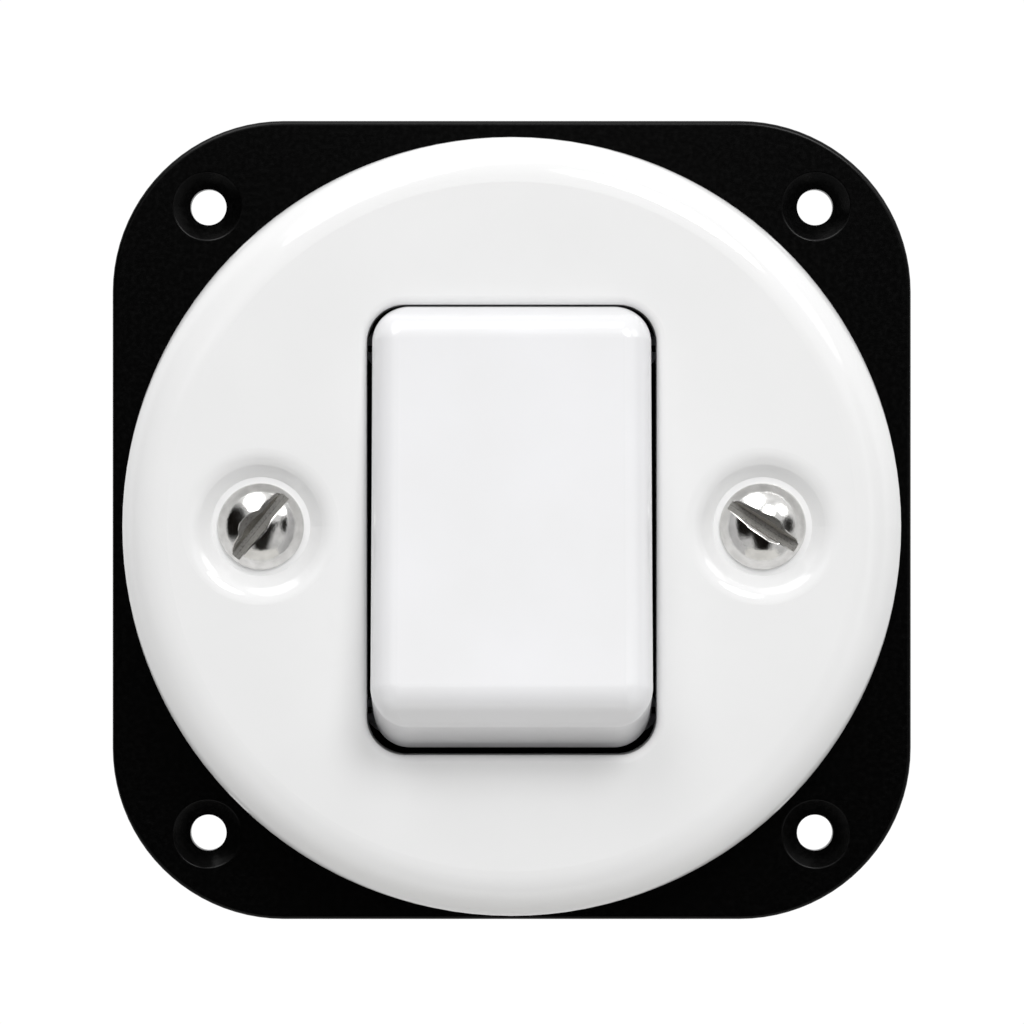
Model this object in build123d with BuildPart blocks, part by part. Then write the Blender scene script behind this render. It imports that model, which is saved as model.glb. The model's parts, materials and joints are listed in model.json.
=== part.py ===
from build123d import *
import os
from math import asin, atan, cos, degrees, radians, sin, tan

# Porcelain rocker switch in millimetres. The wall is the XZ plane and the front of the switch faces -Y.
# The origin is the centre of the mounting plate's back. Depths are measured forwards from the wall.

# Mounting plate, moulded in black thermoset
PLATE_SIDE = 84.0
PLATE_THICKNESS = 3.0
PLATE_CORNER_RADIUS = 18.0
PLATE_EDGE_RADIUS = 0.5
WALL_SCREW_INSET_X = 10.0
WALL_SCREW_INSET_Z = 9.0
WALL_SCREW_HOLE = 3.8
WALL_SCREW_HEAD = 7.2
COUNTERSINK_ANGLE = 90.0
BASE_RECESS_DEPTH = 1.0
BASE_RECESS_CLEARANCE = 0.15
PLATE_WINDOW_LENGTH = 13.0
PLATE_WINDOW_CORNER = 2.0
COUNTERSINK_EDGE_RADIUS = 0.25
# The mechanism's axis and the cover's axis lie this far below the centre of the plate
SWITCH_DROP = 1.0
COVER_DROP = 0.65

# Porcelain cover
COVER_DIAMETER = 80.8
COVER_HEIGHT = 11.0
COVER_WALL = 4.0
COVER_FACE_THICKNESS = 4.5
COVER_SHOULDER_RADIUS = 5.0
COVER_INNER_CHAMFER = 2.5
COVER_FOOT_CHAMFER = 0.6
OPENING_CORNER_RADIUS = 3.9
OPENING_LIP_RADIUS = 0.9
DIMPLE_DEPTH = 1.8
DIMPLE_SLOPE = 42.0
DIMPLE_LIP_RADIUS = 2.6
DIMPLE_LIP_MARGIN = 0.1
SCREW_PILLAR_DIAMETER = 13.0
SCREW_PILLAR_LENGTH = 1.4
SCREW_PILLAR_GAP = 0.2

# Cover screws and the brass inserts that they thread into
# Each screw stands this far outside the middle of the flat face beside the opening
COVER_SCREW_OUTWARDS = 0.25
COVER_SCREW_SEAT_MARGIN = 0.65
COVER_SCREW_THREAD = 4.0
COVER_SCREW_HOLE_CLEARANCE = 0.4
COVER_SCREW_HEAD = 8.9
COVER_SCREW_HEAD_HEIGHT = 2.8
COVER_SCREW_HEAD_EDGE = 0.25
COVER_SCREW_SLOT = 1.1
COVER_SCREW_SLOT_DEPTH = 2.0
COVER_SCREW_SLOT_ANGLES = {"left": 51.0, "right": -33.0}
INSERT_WALL = 1.0
INSERT_LENGTH = 5.5
INSERT_BOSS_WALL = 1.6
THREAD_CLEARANCE = 0.05
THREAD_END_GAP = 0.5

# Rocker, white thermoset, shown with its top end pressed in
ROCKER_TILT = 9.0
ROCKER_WIDTH = 28.6
ROCKER_RIM_LENGTH = 45.66
ROCKER_HEIGHT = 13.0
ROCKER_WALL = 2.2
ROCKER_END_DRAFT = 6.9
ROCKER_CORNER_RADIUS = 3.8
ROCKER_EDGE_RADIUS = 2.8
ROCKER_CROWN_LENGTH = 2.2
ROCKER_CROWN_DROP = 3.4
ROCKER_CROWN_RADIUS = 3.0
ROCKER_FACE_HOLLOW = 0.7
# A face that leans less than this from square to the rocker's front counts as one of its walls
ROCKER_WALL_LEAN = 25.0
ROCKER_SIDE_CLEARANCE = 0.6
ROCKER_END_CLEARANCE = 0.18
POST_SPACING = 20.0
POST_DIAMETER = 5.0
PEG_DIAMETER = 3.0
PEG_CLEARANCE = 0.05

# Cradle, pin and the cheeks that carry the pin
PIVOT_HEIGHT = 4.0
RIM_AHEAD_OF_PIVOT = 0.5
PIN_DIAMETER = 3.0
PIN_CLEARANCE = 0.03
CHEEK_THICKNESS = 3.0
CHEEK_RADIUS = 4.0
HUB_LENGTH = 16.0
HUB_RADIUS = 3.6
HUB_END_CLEARANCE = 0.3
PLATFORM_WIDTH = 18.0
PLATFORM_LENGTH = 28.0
PLATFORM_THICKNESS = 2.5
PLATFORM_CORNER = 2.0
PLATFORM_CLEARANCE = 0.5
CLIP_DIAMETER = 6.0
CLIP_THICKNESS = 0.6
CLIP_CLEARANCE = 0.02

# Spring and plunger in the cradle's barrel
BARREL_DIAMETER = 7.2
BARREL_REACH = 8.5
SPRING_SEAT_REACH = 2.7
PLUNGER_DIAMETER = 4.0
PLUNGER_CLEARANCE = 0.05
PLUNGER_BACK_REACH = 6.5
PLUNGER_NOSE_REACH = 10.2
PLUNGER_CROSSING_CLEARANCE = 0.05
SPRING_WIRE = 0.5
SPRING_WIRE_SIDES = 6
SPRING_BORE_CLEARANCE = 0.15
SPRING_PITCH = 1.1

# Contact see-saw, tipping on the blade of the common terminal
SEE_SAW_TILT = 7.0
SEE_SAW_LENGTH = 25.0
SEE_SAW_WIDTH = 6.0
SEE_SAW_THICKNESS = 1.6
SEE_SAW_CORNER = 1.5
BLADE_RADIUS = 0.8
BLADE_NECK = 1.2
BLADE_CLEARANCE = 0.05
BLADE_STAND_OFF = 0.25

# Silver contacts
CONTACT_REACH = 10.0
CONTACT_TAIL = 1.8
MOVING_CONTACT_DIAMETER = 3.2
MOVING_CONTACT_HEIGHT = 0.8
MOVING_CONTACT_DOME = 4.0
FIXED_CONTACT_DIAMETER = 3.6
FIXED_CONTACT_HEIGHT = 1.0
CONTACT_CLEARANCE = 0.04

# Brass terminals with pillars that take the wires from behind
STRAP_THICKNESS = 1.0
STRAP_MARGIN = 0.7
PILLAR_WIDTH = 7.0
PILLAR_DEEP = 6.5
PILLAR_INSET = 0.6
# The back edges of a pillar and the mouth of its wire bore are eased by this much
PILLAR_EDGE_CHAMFER = 0.4
STRAP_END_CLEARANCE = 0.3
COMMON_PILLAR_REACH = 11.7
COMMON_STRAP_WIDTH = 6.0
WIRE_BORE = 2.8
WIRE_BORE_DEPTH = 8.0
CLAMP_SCREW_THREAD = 2.5
CLAMP_SCREW_HEAD = 4.6
CLAMP_SCREW_HEAD_HEIGHT = 1.8
CLAMP_SCREW_SLOT = 0.8
CLAMP_SCREW_SLOT_DEPTH = 0.9
CLAMP_SCREW_STAND_OFF = 0.3
CLAMP_SCREW_FROM_BACK = 4.0
CLAMP_ACCESS_CLEARANCE = 0.2

# Mechanism base behind the plate, moulded in steatite
BASE_WIDTH = 35.0
BASE_LENGTH = 48.0
BASE_CORNER_RADIUS = 5.0
BASE_BACK_CHAMFER = 1.0
BASE_TERMINAL_DEPTH = 10.0
CAVITY_LENGTH = 42.6
CAVITY_CORNER_RADIUS = 2.0
TERMINAL_CLEARANCE = 0.1
BASE_SCREW_SPACING_X = 26.0
BASE_SCREW_SPACING_Z = 38.0
BASE_SCREW_THREAD = 2.5
BASE_SCREW_HEAD = 4.7
BASE_SCREW_LENGTH = 9.0
BASE_SCREW_SLOT = 0.7
BASE_SCREW_SLOT_DEPTH = 0.6

# The wall screws keep their distance from the plate's edges
WALL_SCREW_SPACING_X = PLATE_SIDE - 2 * WALL_SCREW_INSET_X
WALL_SCREW_SPACING_Z = PLATE_SIDE - 2 * WALL_SCREW_INSET_Z

# The cover screws stand on the flat face between the opening's lip and the cover's shoulder
OPENING_WIDTH = ROCKER_WIDTH + 2 * ROCKER_SIDE_CLEARANCE
lip_edge = OPENING_WIDTH / 2 + OPENING_LIP_RADIUS
shoulder_edge = COVER_DIAMETER / 2 - COVER_SHOULDER_RADIUS
COVER_SCREW_SPACING = lip_edge + shoulder_edge + 2 * COVER_SCREW_OUTWARDS

# A dimple slopes from the screw's seat to a soft lip, which ends on the flat face
dimple_slope = radians(DIMPLE_SLOPE)
dimple_seat = COVER_SCREW_HEAD / 2 + COVER_SCREW_SEAT_MARGIN
dimple_rim = dimple_seat + DIMPLE_DEPTH / tan(dimple_slope)
dimple_room = shoulder_edge - COVER_SCREW_SPACING / 2 - dimple_rim
dimple_lip_radius = min(DIMPLE_LIP_RADIUS, (dimple_room - DIMPLE_LIP_MARGIN) / tan(dimple_slope / 2))

# Places worked out from the sizes above, forwards from the wall
COVER_FACE = PLATE_THICKNESS + COVER_HEIGHT
COVER_CEILING = COVER_FACE - COVER_FACE_THICKNESS
SCREW_SEAT = COVER_FACE - DIMPLE_DEPTH
BOSS_TOP = COVER_CEILING - SCREW_PILLAR_LENGTH - SCREW_PILLAR_GAP
INSERT_BOTTOM = BOSS_TOP - INSERT_LENGTH
PIVOT = PLATE_THICKNESS + PIVOT_HEIGHT
CHEEK_INSIDE = HUB_LENGTH / 2 + HUB_END_CLEARANCE
CHEEK_OUTSIDE = CHEEK_INSIDE + CHEEK_THICKNESS
PLATFORM_BACK = max(CHEEK_RADIUS, HUB_RADIUS) + PLATFORM_CLEARANCE
PLATFORM_FRONT = PLATFORM_BACK + PLATFORM_THICKNESS
SEE_SAW_FRONT = BLADE_STAND_OFF + SEE_SAW_THICKNESS
FULCRUM = PIVOT - PLUNGER_NOSE_REACH - PLUNGER_DIAMETER / 2 - PLUNGER_CROSSING_CLEARANCE - SEE_SAW_FRONT

# The dome of a closed moving contact touches the fixed contact square on
tilt = radians(ROCKER_TILT)
see_saw_tilt = radians(SEE_SAW_TILT)
dome_centre = BLADE_STAND_OFF - MOVING_CONTACT_HEIGHT + MOVING_CONTACT_DOME
closed_contact = (
    FULCRUM
    + dome_centre * cos(see_saw_tilt)
    - CONTACT_REACH * sin(see_saw_tilt)
    - MOVING_CONTACT_DOME
)
FIXED_CONTACT_FACE = closed_contact - CONTACT_CLEARANCE
STRAP_FRONT = FIXED_CONTACT_FACE - FIXED_CONTACT_HEIGHT
CAVITY_FLOOR = STRAP_FRONT - STRAP_THICKNESS
BASE_BACK = CAVITY_FLOOR - BASE_TERMINAL_DEPTH
PILLAR_BACK = BASE_BACK + PILLAR_INSET
CLAMP_SCREW_LINE = PILLAR_BACK + CLAMP_SCREW_FROM_BACK
END_PILLAR_REACH = CAVITY_LENGTH / 2 - STRAP_END_CLEARANCE - PILLAR_DEEP / 2

# The rocker's side profile: the end walls lean in, and the face drops to them over a short crown
ROCKER_FACE = RIM_AHEAD_OF_PIVOT + ROCKER_HEIGHT
draft = radians(ROCKER_END_DRAFT)
rim_half = ROCKER_RIM_LENGTH / 2
crown_foot = ROCKER_FACE - ROCKER_CROWN_DROP
crown_foot_half = rim_half - (crown_foot - RIM_AHEAD_OF_PIVOT) * tan(draft)
face_half = crown_foot_half - ROCKER_CROWN_LENGTH

# The opening clears the rim and the rounded edge of the rocker's pressed end at full tilt
edge_turn = radians(90) - draft - atan(ROCKER_CROWN_DROP / ROCKER_CROWN_LENGTH)
edge_start = ROCKER_EDGE_RADIUS * tan(edge_turn / 2)
edge_centre_half = crown_foot_half + edge_start * sin(draft) - ROCKER_EDGE_RADIUS * cos(draft)
edge_centre_ahead = crown_foot - edge_start * cos(draft) - ROCKER_EDGE_RADIUS * sin(draft)
rim_reach = rim_half * cos(tilt) + RIM_AHEAD_OF_PIVOT * sin(tilt)
edge_reach = edge_centre_half * cos(tilt) + edge_centre_ahead * sin(tilt) + ROCKER_EDGE_RADIUS
OPENING_LENGTH = 2 * (max(rim_reach, edge_reach) + ROCKER_END_CLEARANCE)


def ahead(depth, drop=SWITCH_DROP):
    """A plane parallel to the wall, centred on the mechanism's or the cover's axis, seen from the front."""
    return Plane(origin=(0, -depth, -drop), x_dir=(1, 0, 0), z_dir=(0, -1, 0))


def section_at(x):
    """A plane through a line square to the wall: local x runs right and local y forwards from the wall."""
    return Plane(origin=(x, 0, -COVER_DROP), x_dir=(1, 0, 0), z_dir=(0, 0, -1))


def line_at(x):
    """The line square to the wall that section_at turns about."""
    return Axis((x, 0, -COVER_DROP), (0, -1, 0))


def save(piece, name):
    """Label a finished piece and write it."""
    piece.part.label = name
    export_step(piece.part, f"parts/{name}.step")


os.makedirs("parts", exist_ok=True)

# The rocker's own planes: local x runs right, y along its length and z out of its face
pivot_point = (0, -PIVOT, -SWITCH_DROP)
ROCKER_PLANE = Plane(origin=pivot_point, x_dir=(1, 0, 0), z_dir=(0, -cos(tilt), sin(tilt)))
ROCKER_SIDE = Plane(origin=pivot_point, x_dir=ROCKER_PLANE.y_dir, z_dir=(1, 0, 0))
PLUNGER_LINE = Axis(pivot_point, ROCKER_PLANE.z_dir)

# The see-saw's own planes, tipped the other way
fulcrum_point = (0, -FULCRUM, -SWITCH_DROP)
SEE_SAW_PLANE = Plane(
    origin=fulcrum_point, x_dir=(1, 0, 0), z_dir=(0, -cos(see_saw_tilt), -sin(see_saw_tilt))
)

sides = {"left": -1, "right": 1}
ends = {"upper": 1, "lower": -1}
countersink_flare = tan(radians(COUNTERSINK_ANGLE / 2))

# Mounting plate with its cheeks and screw bosses
insert_diameter = COVER_SCREW_THREAD + 2 * INSERT_WALL
with BuildPart(Plane.XZ.offset(PLATE_THICKNESS)) as mounting_plate:
    with BuildSketch(Plane.XZ):
        RectangleRounded(PLATE_SIDE, PLATE_SIDE, PLATE_CORNER_RADIUS)
    extrude(amount=PLATE_THICKNESS)
    fillet(mounting_plate.faces().sort_by(Axis.Y)[0].edges(), PLATE_EDGE_RADIUS)
    with GridLocations(WALL_SCREW_SPACING_X, WALL_SCREW_SPACING_Z, 2, 2):
        CounterSinkHole(
            WALL_SCREW_HOLE / 2, WALL_SCREW_HEAD / 2, PLATE_THICKNESS, COUNTERSINK_ANGLE
        )
    front = mounting_plate.faces().sort_by(Axis.Y)[0]
    fillet(front.inner_wires().edges(), COUNTERSINK_EDGE_RADIUS)
    with Locations((0, -SWITCH_DROP)):
        with GridLocations(BASE_SCREW_SPACING_X, BASE_SCREW_SPACING_Z, 2, 2):
            CounterSinkHole(
                BASE_SCREW_THREAD / 2, BASE_SCREW_HEAD / 2, PLATE_THICKNESS, COUNTERSINK_ANGLE
            )
    # The recess locates the mechanism base
    with BuildSketch(ahead(0)):
        RectangleRounded(
            BASE_WIDTH + 2 * BASE_RECESS_CLEARANCE,
            BASE_LENGTH + 2 * BASE_RECESS_CLEARANCE,
            BASE_CORNER_RADIUS + BASE_RECESS_CLEARANCE,
        )
    extrude(amount=BASE_RECESS_DEPTH, mode=Mode.SUBTRACT)
    # The window lets the cradle's barrel through
    with BuildSketch(ahead(0)):
        RectangleRounded(2 * CHEEK_INSIDE, PLATE_WINDOW_LENGTH, PLATE_WINDOW_CORNER)
    extrude(amount=PLATE_THICKNESS, mode=Mode.SUBTRACT)
    for side in sides.values():
        cheek_plane = Plane(
            origin=(side * CHEEK_INSIDE, -PIVOT, -SWITCH_DROP), x_dir=(0, 1, 0), z_dir=(1, 0, 0)
        )
        with BuildSketch(cheek_plane):
            Circle(CHEEK_RADIUS)
            Rectangle(PIVOT_HEIGHT, 2 * CHEEK_RADIUS, align=(Align.MIN, Align.CENTER))
            Circle(PIN_DIAMETER / 2, mode=Mode.SUBTRACT)
        extrude(amount=side * CHEEK_THICKNESS)
    with BuildSketch(ahead(PLATE_THICKNESS, COVER_DROP)):
        with GridLocations(COVER_SCREW_SPACING, 0, 2, 1):
            Circle(insert_diameter / 2 + INSERT_BOSS_WALL)
    extrude(amount=BOSS_TOP - PLATE_THICKNESS)
    with BuildSketch(ahead(INSERT_BOTTOM, COVER_DROP)):
        with GridLocations(COVER_SCREW_SPACING, 0, 2, 1):
            Circle(insert_diameter / 2)
    extrude(amount=INSERT_LENGTH, mode=Mode.SUBTRACT)
save(mounting_plate, "mounting_plate")

# Porcelain cover: a turned shell with a soft shoulder, the rocker's opening and two dimples
cover_radius = COVER_DIAMETER / 2
cover_hollow_radius = cover_radius - COVER_WALL
with BuildPart() as porcelain_cover:
    with BuildSketch(section_at(0)) as cover_section:
        with BuildLine():
            Polyline(
                (0, COVER_CEILING),
                (cover_hollow_radius, COVER_CEILING),
                (cover_hollow_radius, PLATE_THICKNESS),
                (cover_radius, PLATE_THICKNESS),
                (cover_radius, COVER_FACE),
                (0, COVER_FACE),
                close=True,
            )
        make_face()
        shoulder = cover_section.vertices().sort_by_distance((cover_radius, COVER_FACE))[0]
        fillet(shoulder, COVER_SHOULDER_RADIUS)
        hollow = cover_section.vertices().sort_by_distance((cover_hollow_radius, COVER_CEILING))[0]
        chamfer(hollow, COVER_INNER_CHAMFER)
        foot = cover_section.vertices().sort_by_distance((cover_radius, PLATE_THICKNESS))[0]
        chamfer(foot, COVER_FOOT_CHAMFER)
    revolve(axis=line_at(0))
    with BuildSketch(ahead(COVER_CEILING)):
        RectangleRounded(OPENING_WIDTH, OPENING_LENGTH, OPENING_CORNER_RADIUS)
    extrude(amount=COVER_FACE_THICKNESS, mode=Mode.SUBTRACT)
    face = porcelain_cover.faces().filter_by(Plane.XZ).sort_by(Axis.Y)[0]
    fillet(face.inner_wires().edges(), OPENING_LIP_RADIUS)
    with BuildSketch(ahead(BOSS_TOP + SCREW_PILLAR_GAP, COVER_DROP)):
        with GridLocations(COVER_SCREW_SPACING, 0, 2, 1):
            Circle(SCREW_PILLAR_DIAMETER / 2)
    extrude(amount=SCREW_PILLAR_LENGTH)
    for side in sides.values():
        screw_x = side * COVER_SCREW_SPACING / 2
        with BuildSketch(section_at(screw_x)):
            with BuildLine():
                Polyline(
                    (0, SCREW_SEAT),
                    (dimple_seat, SCREW_SEAT),
                    (dimple_rim, COVER_FACE),
                    (0, COVER_FACE),
                    close=True,
                )
            make_face()
        revolve(axis=line_at(screw_x), mode=Mode.SUBTRACT)
    with BuildSketch(ahead(BOSS_TOP, COVER_DROP)):
        with GridLocations(COVER_SCREW_SPACING, 0, 2, 1):
            Circle(COVER_SCREW_THREAD / 2 + COVER_SCREW_HOLE_CLEARANCE)
    extrude(amount=COVER_FACE - BOSS_TOP, mode=Mode.SUBTRACT)
    face = porcelain_cover.faces().filter_by(Plane.XZ).sort_by(Axis.Y)[0]
    dimple_rims = face.inner_wires().edges().filter_by(GeomType.CIRCLE)
    fillet(dimple_rims.filter_by(lambda edge: edge.is_closed), dimple_lip_radius)
save(porcelain_cover, "porcelain_cover")

# Cover screws, slotted with a high round head, and their inserts
head_radius = COVER_SCREW_HEAD / 2
dome_top = SCREW_SEAT + COVER_SCREW_HEAD_HEIGHT
dome_foot = SCREW_SEAT + COVER_SCREW_HEAD_EDGE
dome_rise = dome_top - dome_foot
dome_radius = (head_radius**2 + dome_rise**2) / (2 * dome_rise)
thread_end = INSERT_BOTTOM + THREAD_END_GAP
for name, side in sides.items():
    screw_x = side * COVER_SCREW_SPACING / 2
    with BuildPart() as cover_screw:
        with BuildSketch(section_at(screw_x)):
            with BuildLine():
                Polyline(
                    (0, dome_top),
                    (0, thread_end),
                    (COVER_SCREW_THREAD / 2, thread_end),
                    (COVER_SCREW_THREAD / 2, SCREW_SEAT),
                    (head_radius, SCREW_SEAT),
                    (head_radius, dome_foot),
                )
                RadiusArc((head_radius, dome_foot), (0, dome_top), -dome_radius)
            make_face()
        revolve(axis=line_at(screw_x))
        with BuildSketch(ahead(dome_top, COVER_DROP)):
            with Locations((screw_x, 0)):
                Rectangle(
                    2 * COVER_SCREW_HEAD, COVER_SCREW_SLOT, rotation=COVER_SCREW_SLOT_ANGLES[name]
                )
        extrude(amount=-COVER_SCREW_SLOT_DEPTH, mode=Mode.SUBTRACT)
    save(cover_screw, f"cover_screw_{name}")

    with BuildPart() as threaded_insert:
        with BuildSketch(ahead(INSERT_BOTTOM, COVER_DROP)):
            with Locations((screw_x, 0)):
                Circle(insert_diameter / 2)
                Circle(COVER_SCREW_THREAD / 2 + THREAD_CLEARANCE, mode=Mode.SUBTRACT)
        extrude(amount=INSERT_LENGTH)
    save(threaded_insert, f"threaded_insert_{name}")

# Pivot pin, pressed into the cheeks
with BuildPart() as pivot_pin:
    with BuildSketch(ROCKER_SIDE):
        Circle(PIN_DIAMETER / 2)
    extrude(amount=CHEEK_OUTSIDE, both=True)
save(pivot_pin, "pivot_pin")

# Rocker: a drawn side profile with a hollowed face, rounded all round and hollow behind. Its skirt is drawn past the
# rim, so that the hollow opens there once the skirt is cut off square.
rocker_wall_limit = sin(radians(ROCKER_WALL_LEAN))
skirt = RIM_AHEAD_OF_PIVOT - 2 * ROCKER_WALL
skirt_half = rim_half + 2 * ROCKER_WALL * tan(draft)
with BuildPart() as rocker:
    with BuildSketch(ROCKER_SIDE) as rocker_profile:
        with BuildLine():
            Polyline(
                (face_half, ROCKER_FACE),
                (crown_foot_half, crown_foot),
                (skirt_half, skirt),
                (-skirt_half, skirt),
                (-crown_foot_half, crown_foot),
                (-face_half, ROCKER_FACE),
            )
            ThreePointArc(
                (-face_half, ROCKER_FACE),
                (0, ROCKER_FACE - ROCKER_FACE_HOLLOW),
                (face_half, ROCKER_FACE),
            )
        make_face()
        fillet(rocker_profile.vertices().group_by(Axis.Y)[-1], ROCKER_CROWN_RADIUS)
    extrude(amount=ROCKER_WIDTH / 2, both=True)
    side_edges = rocker.faces().filter_by(Axis.X).edges()
    wall_edges = side_edges.filter_by(GeomType.LINE).group_by(SortBy.LENGTH)[-2]
    fillet(wall_edges, ROCKER_CORNER_RADIUS)
    out = ROCKER_PLANE.z_dir
    front = rocker.faces().filter_by(lambda face: face.normal_at().dot(out) > rocker_wall_limit)
    walls = rocker.faces().filter_by(lambda face: abs(face.normal_at().dot(out)) < rocker_wall_limit)
    wall_tops = walls.edges()
    fillet(front.edges().filter_by(lambda edge: edge in wall_tops), ROCKER_EDGE_RADIUS)
    with BuildSketch(ROCKER_SIDE):
        offset(rocker_profile.sketch_local, amount=-ROCKER_WALL)
    extrude(amount=ROCKER_WIDTH / 2 - ROCKER_WALL, both=True, mode=Mode.SUBTRACT)
    split(bisect_by=ROCKER_PLANE.offset(RIM_AHEAD_OF_PIVOT), keep=Keep.TOP)
    with BuildSketch(ROCKER_PLANE.offset(PLATFORM_FRONT)):
        with GridLocations(0, POST_SPACING, 1, 2):
            Circle(POST_DIAMETER / 2)
    extrude(amount=ROCKER_FACE - ROCKER_FACE_HOLLOW - ROCKER_WALL / 2 - PLATFORM_FRONT)
    with BuildSketch(ROCKER_PLANE.offset(PLATFORM_FRONT)):
        with GridLocations(0, POST_SPACING, 1, 2):
            Circle(PEG_DIAMETER / 2)
    extrude(amount=-PLATFORM_THICKNESS - CLIP_THICKNESS)
save(rocker, "rocker")

# Cradle: a hub on the pin, a platform that carries the rocker and a barrel for the plunger
bore_radius = PLUNGER_DIAMETER / 2 + PLUNGER_CLEARANCE
with BuildPart() as cradle:
    with BuildSketch(ROCKER_SIDE):
        Circle(HUB_RADIUS)
        Rectangle(2 * HUB_RADIUS, PLATFORM_BACK, align=(Align.CENTER, Align.MIN))
    extrude(amount=HUB_LENGTH / 2, both=True)
    with BuildSketch(ROCKER_PLANE.offset(PLATFORM_BACK)):
        RectangleRounded(PLATFORM_WIDTH, PLATFORM_LENGTH, PLATFORM_CORNER)
        with GridLocations(0, POST_SPACING, 1, 2):
            Circle(PEG_DIAMETER / 2 + PEG_CLEARANCE, mode=Mode.SUBTRACT)
    extrude(amount=PLATFORM_THICKNESS)
    with BuildSketch(ROCKER_PLANE):
        Circle(BARREL_DIAMETER / 2)
    extrude(amount=-BARREL_REACH)
    with BuildSketch(ROCKER_SIDE):
        Circle(PIN_DIAMETER / 2 + PIN_CLEARANCE)
    extrude(amount=HUB_LENGTH / 2, both=True, mode=Mode.SUBTRACT)
    with BuildSketch(ROCKER_PLANE.offset(-BARREL_REACH)):
        Circle(bore_radius)
    extrude(amount=BARREL_REACH - SPRING_SEAT_REACH, mode=Mode.SUBTRACT)
save(cradle, "cradle")

# Push-on clips that hold the rocker's pegs behind the platform
for name, end in ends.items():
    with BuildPart() as rocker_clip:
        with BuildSketch(ROCKER_PLANE.offset(PLATFORM_BACK)):
            with Locations((0, end * POST_SPACING / 2)):
                Circle(CLIP_DIAMETER / 2)
                Circle(PEG_DIAMETER / 2 + CLIP_CLEARANCE, mode=Mode.SUBTRACT)
        extrude(amount=-CLIP_THICKNESS)
    save(rocker_clip, f"rocker_clip_{name}")

# Plunger with its round nose, and the spring behind it
plunger_radius = PLUNGER_DIAMETER / 2
with BuildPart() as plunger:
    with BuildSketch(ROCKER_SIDE):
        with BuildLine():
            Polyline(
                (0, -PLUNGER_NOSE_REACH - plunger_radius),
                (0, -PLUNGER_BACK_REACH),
                (plunger_radius, -PLUNGER_BACK_REACH),
                (plunger_radius, -PLUNGER_NOSE_REACH),
            )
            CenterArc((0, -PLUNGER_NOSE_REACH), plunger_radius, -90, 90)
        make_face()
    revolve(axis=PLUNGER_LINE)
save(plunger, "plunger")

spring_radius = bore_radius - SPRING_BORE_CLEARANCE - SPRING_WIRE / 2
spring_height = PLUNGER_BACK_REACH - SPRING_SEAT_REACH - SPRING_WIRE
spring_start = ROCKER_PLANE.offset(-PLUNGER_BACK_REACH + SPRING_WIRE / 2)
with BuildPart() as plunger_spring:
    with BuildLine() as coil:
        Helix(
            SPRING_PITCH,
            spring_height,
            spring_radius,
            center=spring_start.origin,
            direction=ROCKER_PLANE.z_dir,
        )
    with BuildSketch(Plane(origin=coil.line @ 0, z_dir=coil.line % 0)):
        RegularPolygon(SPRING_WIRE / 2, SPRING_WIRE_SIDES)
    sweep(path=coil.line, is_frenet=True)
save(plunger_spring, "plunger_spring")

# Contact see-saw, grooved to tip on the blade
with BuildPart() as contact_see_saw:
    with BuildSketch(SEE_SAW_PLANE.offset(BLADE_STAND_OFF)):
        RectangleRounded(SEE_SAW_WIDTH, SEE_SAW_LENGTH, SEE_SAW_CORNER)
        with GridLocations(0, 2 * CONTACT_REACH, 1, 2):
            Circle(CONTACT_TAIL / 2, mode=Mode.SUBTRACT)
    extrude(amount=SEE_SAW_THICKNESS)
    with BuildSketch(Plane(origin=fulcrum_point, z_dir=(1, 0, 0))):
        Circle(BLADE_RADIUS + BLADE_CLEARANCE)
    extrude(amount=SEE_SAW_WIDTH, both=True, mode=Mode.SUBTRACT)
save(contact_see_saw, "contact_see_saw")

# Moving contacts with domed heads, riveted through the see-saw, and the fixed contacts that they meet
moving_radius = MOVING_CONTACT_DIAMETER / 2
dome_angle = degrees(asin(moving_radius / MOVING_CONTACT_DOME))
dome_edge = dome_centre - MOVING_CONTACT_DOME * cos(radians(dome_angle))
for name, end in ends.items():
    contact_point = SEE_SAW_PLANE.from_local_coords((0, end * CONTACT_REACH, 0))
    with BuildPart() as moving_contact:
        with BuildSketch(Plane(origin=contact_point, x_dir=SEE_SAW_PLANE.y_dir, z_dir=(1, 0, 0))):
            with BuildLine():
                Polyline(
                    (0, dome_centre - MOVING_CONTACT_DOME),
                    (0, SEE_SAW_FRONT),
                    (CONTACT_TAIL / 2, SEE_SAW_FRONT),
                    (CONTACT_TAIL / 2, BLADE_STAND_OFF),
                    (moving_radius, BLADE_STAND_OFF),
                    (moving_radius, dome_edge),
                )
                CenterArc((0, dome_centre), MOVING_CONTACT_DOME, -90, dome_angle)
            make_face()
        revolve(axis=Axis(contact_point, SEE_SAW_PLANE.z_dir))
    save(moving_contact, f"moving_contact_{name}")

    with BuildPart() as fixed_contact:
        with BuildSketch(ahead(STRAP_FRONT)):
            with Locations((0, end * CONTACT_REACH)):
                Circle(FIXED_CONTACT_DIAMETER / 2)
        extrude(amount=FIXED_CONTACT_HEIGHT)
        with BuildSketch(ahead(CAVITY_FLOOR)):
            with Locations((0, end * CONTACT_REACH)):
                Circle(CONTACT_TAIL / 2)
        extrude(amount=STRAP_THICKNESS)
    save(fixed_contact, f"fixed_contact_{name}")

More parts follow.
